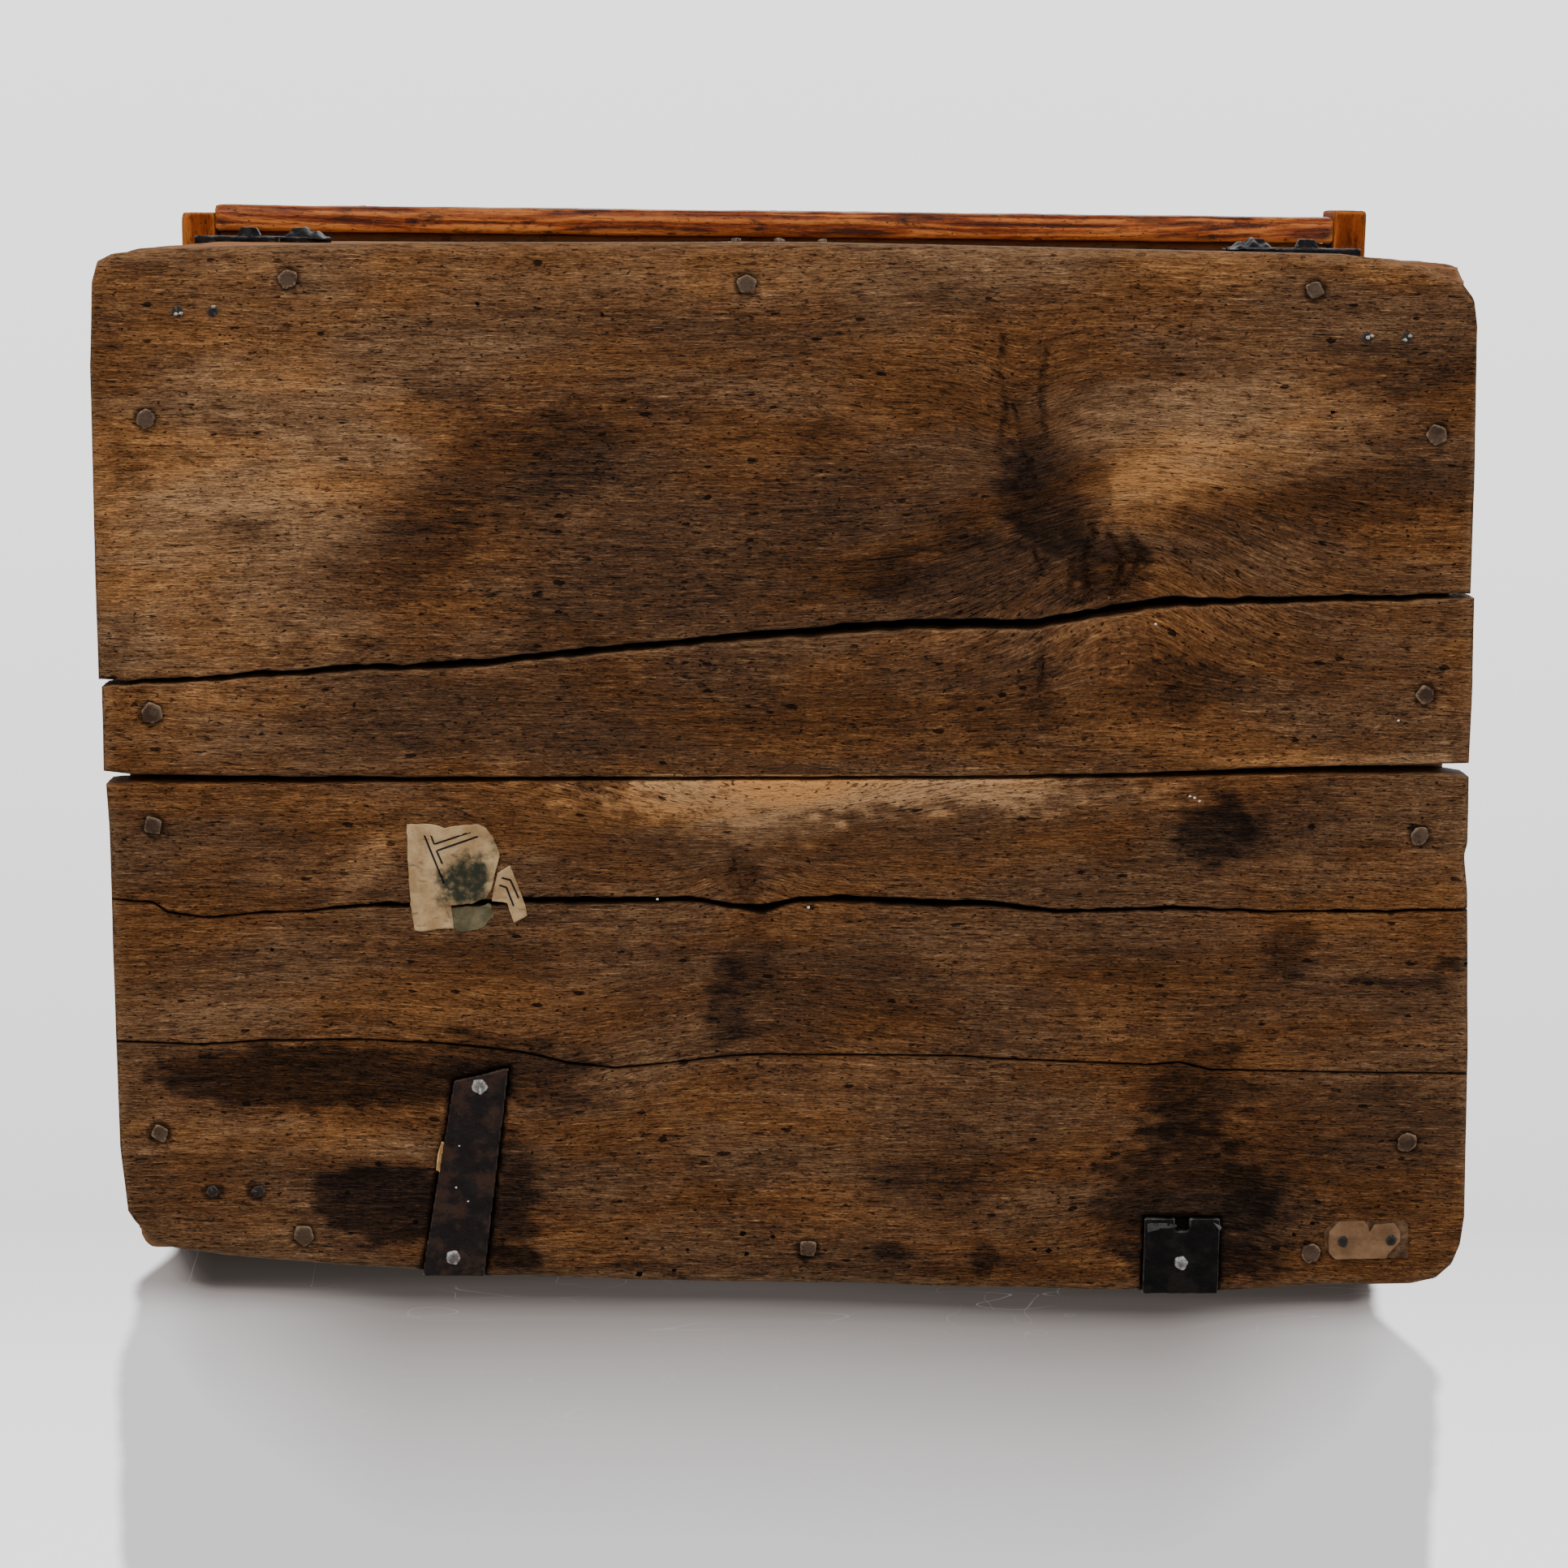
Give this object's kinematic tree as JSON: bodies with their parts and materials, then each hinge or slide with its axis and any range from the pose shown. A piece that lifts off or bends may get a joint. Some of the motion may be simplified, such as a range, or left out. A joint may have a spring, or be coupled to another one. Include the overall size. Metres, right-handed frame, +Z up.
{
  "type": "donation box",
  "caption": "Old pine collection casket with a hinged lid, a coin slot, iron strap hinges turned under the bottom, corner irons and a slide-bolt lock.",
  "frame": {"origin": "under the middle of the whole box, level with the underside of the bottom boards", "axes": "+Z up, front (lock side) towards -Y, +X to the right as seen from the front"},
  "size_m": [0.424, 0.3278, 0.2649],
  "materials": {
    "bare_pine": "raw, weathered and stained",
    "body_pine": "thin worn reddish brown stain",
    "varnished_pine": "worn orange-brown varnish",
    "black_iron": "forged, dark, worn at edges",
    "grey_iron": "worn bluish grey",
    "lock_iron": "dull, a little rust",
    "nail_iron": "forged, brown patina",
    "card": "layered worn card"
  },
  "bodies": {
    "box": {"bottom_board_front": "bare_pine", "bottom_board_middle": "bare_pine", "bottom_board_back": "bare_pine", "front_wall": "body_pine", "back_wall": "body_pine", "left_wall": "body_pine", "right_wall": "body_pine", "hinge_strap_left": "black_iron", "hinge_strap_right": "black_iron", "hinge_pin_left": "black_iron", "hinge_pin_right": "black_iron", "corner_iron_left": "black_iron", "corner_iron_right": "black_iron", "lock_escutcheon": "grey_iron", "lock_plate": "lock_iron", "bolt_guides": "lock_iron", "lock_bridge": "lock_iron", "lock_key_post": "lock_iron", "lock_spring": "lock_iron", "bottom_nails": "nail_iron", "wall_nails": "nail_iron", "pad_tacks": "nail_iron", "hinge_strap_nails": "nail_iron", "corner_iron_nails": "nail_iron", "escutcheon_nails": "nail_iron", "lock_plate_nails": "nail_iron", "foot_pad": "card"},
    "lid": {"lid_board": "varnished_pine", "lid_front_strip": "varnished_pine", "lid_left_batten": "varnished_pine", "lid_right_batten": "varnished_pine", "lid_nails": "nail_iron", "hinge_leaf_left": "black_iron", "hinge_leaf_right": "black_iron", "hinge_leaf_nails": "nail_iron", "slot_plate": "grey_iron", "slot_plate_nails": "nail_iron", "lock_staple": "lock_iron", "lock_staple_nails": "nail_iron"},
    "bolt": {"lock_bolt": "lock_iron"}
  },
  "joints": [
    {"name": "lid_hinge", "type": "hinge", "parent": "box", "child": "lid", "pos_m": [0, 0.15945, 0.244], "axis": [-1, 0, 0], "range_deg": [0, 190]},
    {"name": "bolt_slide", "type": "slide", "parent": "box", "child": "bolt", "axis": [1, 0, 0], "range_m": [0, 0.012]}
  ]
}
